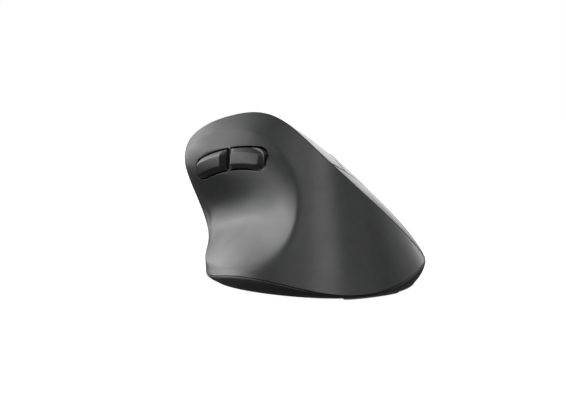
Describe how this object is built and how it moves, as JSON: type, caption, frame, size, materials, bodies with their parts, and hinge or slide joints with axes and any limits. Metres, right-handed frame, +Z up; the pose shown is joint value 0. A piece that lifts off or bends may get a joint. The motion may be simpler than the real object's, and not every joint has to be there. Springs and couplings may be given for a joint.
{
  "type": "computer mouse",
  "caption": "Vertical right-handed wireless mouse with a thumb scoop, two thumb buttons, a steep upper panel with two keys, and a scroll wheel",
  "frame": {"origin": "middle of the bounding box at desk level, under the glide feet", "axes": "+Y forward, away from the wrist; +Z up; +X to the right, down the slope of the upper panel"},
  "size_m": [0.0818, 0.1092, 0.0683],
  "materials": {
    "body": "satin black",
    "keys": "satin black",
    "hull": "satin black",
    "rubber": "matte",
    "glide": "smooth",
    "inner": "moulded",
    "board": "solder mask",
    "chip": "moulded",
    "steel": "plated",
    "clear": "clear moulding",
    "red": "moulded",
    "cell": "printed sleeve",
    "ribbon": "flat cable"
  },
  "bodies": {
    "case": {"side_shell": "body", "palm_cover": "body", "key_spine": "body", "receiver_shell": "keys", "base_shell": "hull", "glide_foot_rear": "glide", "glide_foot_left": "glide", "glide_foot_right": "glide", "inner_frame": "inner", "main_board": "board", "key_board": "board", "thumb_board": "board", "left_switch": "chip", "right_switch": "chip", "wheel_switch": "chip", "dpi_switch": "chip", "back_switch": "chip", "forward_switch": "chip", "wheel_encoder": "chip", "sensor_chip": "chip", "controller_chip": "chip", "power_switch_body": "chip", "wheel_spring": "steel", "key_hinge_pin": "steel", "crystal": "steel", "contact_plate": "steel", "contact_spring": "steel", "receiver_plug": "steel", "key_board_screw_1": "steel", "key_board_screw_2": "steel", "board_screw_1": "steel", "board_screw_2": "steel", "board_screw_3": "steel", "base_screw_1": "steel", "base_screw_2": "steel", "base_screw_3": "steel", "base_screw_4": "steel", "base_screw_5": "steel", "sensor_lens": "clear", "main_connector": "clear", "key_connector": "clear", "battery_cell": "cell", "ribbon_cable": "ribbon"},
    "left_key": {"left_key": "keys"},
    "right_key": {"right_key": "keys"},
    "left_plunger": {"left_plunger": "red"},
    "right_plunger": {"right_plunger": "red"},
    "wheel_carrier": {"wheel_cradle": "inner"},
    "wheel": {"wheel_tyre": "rubber", "wheel_hub": "inner", "wheel_axle": "steel"},
    "wheel_plunger": {"wheel_plunger": "rubber"},
    "back_button": {"back_button": "keys"},
    "forward_button": {"forward_button": "keys"},
    "dpi_button": {"dpi_button": "keys"},
    "power_knob": {"power_switch_knob": "keys"},
    "battery_door": {"battery_door": "hull"}
  },
  "joints": [
    {"name": "left_key_press", "type": "hinge", "parent": "case", "child": "left_key", "pos_m": [0.00011, -0.02036, 0.0389], "axis": [-0.7391, -0.0777, 0.6691], "range_deg": [0, 0.33], "stiffness_Nm_per_rad": 2.4, "springref_deg": -0.57},
    {"name": "right_key_press", "type": "hinge", "parent": "case", "child": "right_key", "pos_m": [0.00011, -0.02036, 0.0389], "axis": [-0.7391, -0.0777, 0.6691], "range_deg": [0, 0.33], "stiffness_Nm_per_rad": 2.4, "springref_deg": -0.57},
    {"name": "left_plunger_travel", "type": "slide", "parent": "case", "child": "left_plunger", "axis": [-0.6655, -0.0699, -0.7431], "range_m": [0, 0.0006]},
    {"name": "right_plunger_travel", "type": "slide", "parent": "case", "child": "right_plunger", "axis": [-0.6655, -0.0699, -0.7431], "range_m": [0, 0.0006]},
    {"name": "wheel_press", "type": "slide", "parent": "case", "child": "wheel_carrier", "axis": [-0.6655, -0.0699, -0.7431], "range_m": [0, 0.0005], "stiffness_N_per_m": 1500, "springref_m": -0.0005},
    {"name": "wheel_plunger_travel", "type": "slide", "parent": "case", "child": "wheel_plunger", "axis": [-0.6655, -0.0699, -0.7431], "range_m": [0, 0.0006]},
    {"name": "wheel_spin", "type": "hinge", "parent": "wheel_carrier", "child": "wheel", "pos_m": [0.00067, 0.01841, 0.04403], "axis": [0.7391, 0.0777, -0.6691], "continuous": true},
    {"name": "back_button_press", "type": "slide", "parent": "case", "child": "back_button", "axis": [1, 0, 0], "range_m": [0, 0.0006], "stiffness_N_per_m": 1000, "springref_m": -0.0005},
    {"name": "forward_button_press", "type": "slide", "parent": "case", "child": "forward_button", "axis": [1, 0, 0], "range_m": [0, 0.0006], "stiffness_N_per_m": 1000, "springref_m": -0.0005},
    {"name": "dpi_button_press", "type": "slide", "parent": "case", "child": "dpi_button", "axis": [-0.6655, -0.0699, -0.7431], "range_m": [0, 0.0005], "stiffness_N_per_m": 900, "springref_m": -0.0005},
    {"name": "power_knob_slide", "type": "slide", "parent": "case", "child": "power_knob", "axis": [0, 1, 0], "range_m": [0, 0.003]},
    {"name": "battery_door_slide", "type": "slide", "parent": "case", "child": "battery_door", "axis": [0, 1, 0], "range_m": [0, 0.062]}
  ],
  "couplings": [
    {"joint": "left_plunger_travel", "follows": "left_key_press", "m_per_rad": 0.0449},
    {"joint": "right_plunger_travel", "follows": "right_key_press", "m_per_rad": 0.0449},
    {"joint": "wheel_plunger_travel", "follows": "wheel_press", "ratio": 1}
  ]
}
